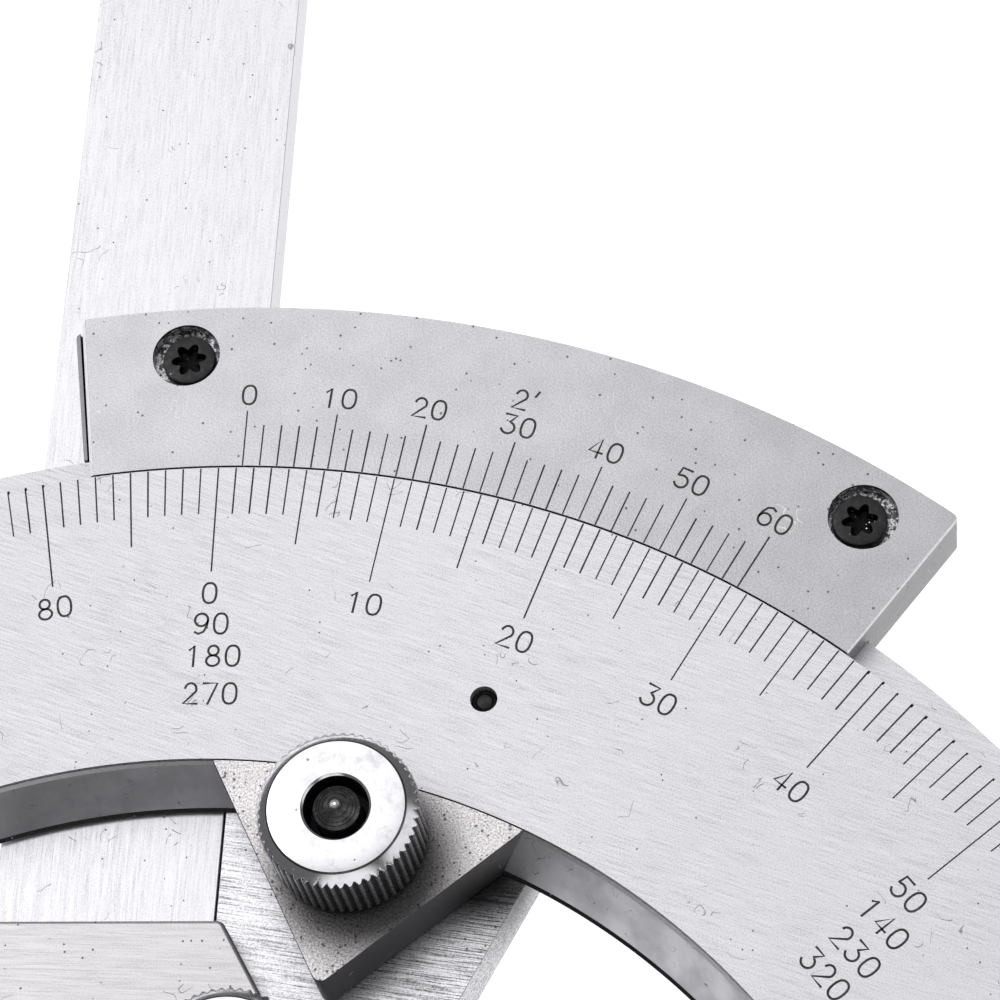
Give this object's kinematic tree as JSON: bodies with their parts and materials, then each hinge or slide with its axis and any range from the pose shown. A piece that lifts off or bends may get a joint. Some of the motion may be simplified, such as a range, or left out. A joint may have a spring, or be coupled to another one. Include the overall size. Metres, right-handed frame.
{
  "type": "universal bevel protractor",
  "caption": "Vernier bevel protractor: graduated arc with base ruler, swinging sector with clamped square and straight ruler, fine-adjustment pinion and knurled brake nut.",
  "frame": {"origin": "centre of the graduated arc, which is the vertex of the measured angle, in the plane of the graduated face", "axes": "+Y to the main scale's zero line, +X along the base ruler's measuring edge, +Z out of the graduated face; the tool lies on its back"},
  "size_m": [0.1608, 0.1679, 0.0241],
  "materials": {
    "scale_steel": "satin, fine ground lines",
    "vernier_steel": "bead blasted, matte",
    "sector_steel": "coarse diagonal grinding",
    "blade_steel": "ground lengthwise",
    "blasted_steel": "coarsely blasted, pitted",
    "nut_chrome": "polished, knurled rim",
    "black_steel": "black oxide",
    "gear_steel": "machined",
    "bush_brass": "turned"
  },
  "bodies": {
    "scale": {"main_scale": "scale_steel", "base_ruler": "blade_steel", "base_ruler_screws": "black_steel", "sector_gear": "gear_steel", "sector_gear_screws": "black_steel"},
    "sector": {"sector_plate": "sector_steel", "vernier_spacer": "vernier_steel", "vernier_plate": "vernier_steel", "vernier_screws": "black_steel", "spacer_screws": "black_steel", "brake_stud": "black_steel", "clamp_stud": "black_steel", "pinion_bush": "bush_brass"},
    "brake_plate": {"brake_plate": "blasted_steel"},
    "brake_nut": {"brake_nut": "nut_chrome"},
    "pinion": {"pinion": "gear_steel", "pinion_shaft": "gear_steel", "adjusting_knob": "nut_chrome", "knob_screw": "black_steel"},
    "clamp_block": {"clamp_block": "blasted_steel"},
    "clamp_nut": {"clamp_nut": "nut_chrome"},
    "square": {"square": "blade_steel", "ruler_clamp_frame": "blasted_steel", "ruler_clamp_stud": "black_steel"},
    "straight_ruler": {"straight_ruler": "blade_steel"},
    "ruler_clamp_block": {"ruler_clamp_block": "blasted_steel"},
    "ruler_clamp_nut": {"ruler_clamp_nut": "nut_chrome"}
  },
  "joints": [
    {"name": "sector_swing", "type": "hinge", "parent": "scale", "child": "sector", "pos_m": [0, 0, 0], "axis": [0, 0, -1], "range_deg": [-1.33, 48.67]},
    {"name": "pinion_spin", "type": "hinge", "parent": "sector", "child": "pinion", "pos_m": [0.01814, 0.06398, -0.00345], "axis": [0, 0, -1], "range_deg": [-24.1, 876.1]},
    {"name": "brake_lift", "type": "slide", "parent": "sector", "child": "brake_plate", "axis": [0, 0, 1], "range_m": [0, 0.0005]},
    {"name": "brake_nut_turn", "type": "hinge", "parent": "brake_plate", "child": "brake_nut", "pos_m": [0.01112, 0.0462, 0.003], "axis": [0, 0, 1], "range_deg": [0, 301]},
    {"name": "clamp_lift", "type": "slide", "parent": "sector", "child": "clamp_block", "axis": [0, 0, 1], "range_m": [0, 0.0005]},
    {"name": "clamp_nut_turn", "type": "hinge", "parent": "clamp_block", "child": "clamp_nut", "pos_m": [0.00405, 0.02855, 0.001], "axis": [0, 0, 1], "range_deg": [0, 301]},
    {"name": "square_slide", "type": "slide", "parent": "sector", "child": "square", "axis": [-0.0233, -0.9997, 0], "range_m": [0, 0.04]},
    {"name": "ruler_slide", "type": "slide", "parent": "square", "child": "straight_ruler", "axis": [0.9997, -0.0233, 0], "range_m": [-0.03, 0.03]},
    {"name": "ruler_clamp_lift", "type": "slide", "parent": "square", "child": "ruler_clamp_block", "axis": [0, 0, 1], "range_m": [0, 0.0005]},
    {"name": "ruler_clamp_nut_turn", "type": "hinge", "parent": "ruler_clamp_block", "child": "ruler_clamp_nut", "pos_m": [0.02154, -0.01991, 0.004], "axis": [0, 0, 1], "range_deg": [0, 301]}
  ],
  "couplings": [
    {"joint": "pinion_spin", "follows": "sector_swing", "ratio": 18},
    {"joint": "brake_nut_turn", "follows": "brake_lift", "rad_per_m": 10472},
    {"joint": "clamp_nut_turn", "follows": "clamp_lift", "rad_per_m": 10472},
    {"joint": "ruler_clamp_nut_turn", "follows": "ruler_clamp_lift", "rad_per_m": 10472}
  ]
}
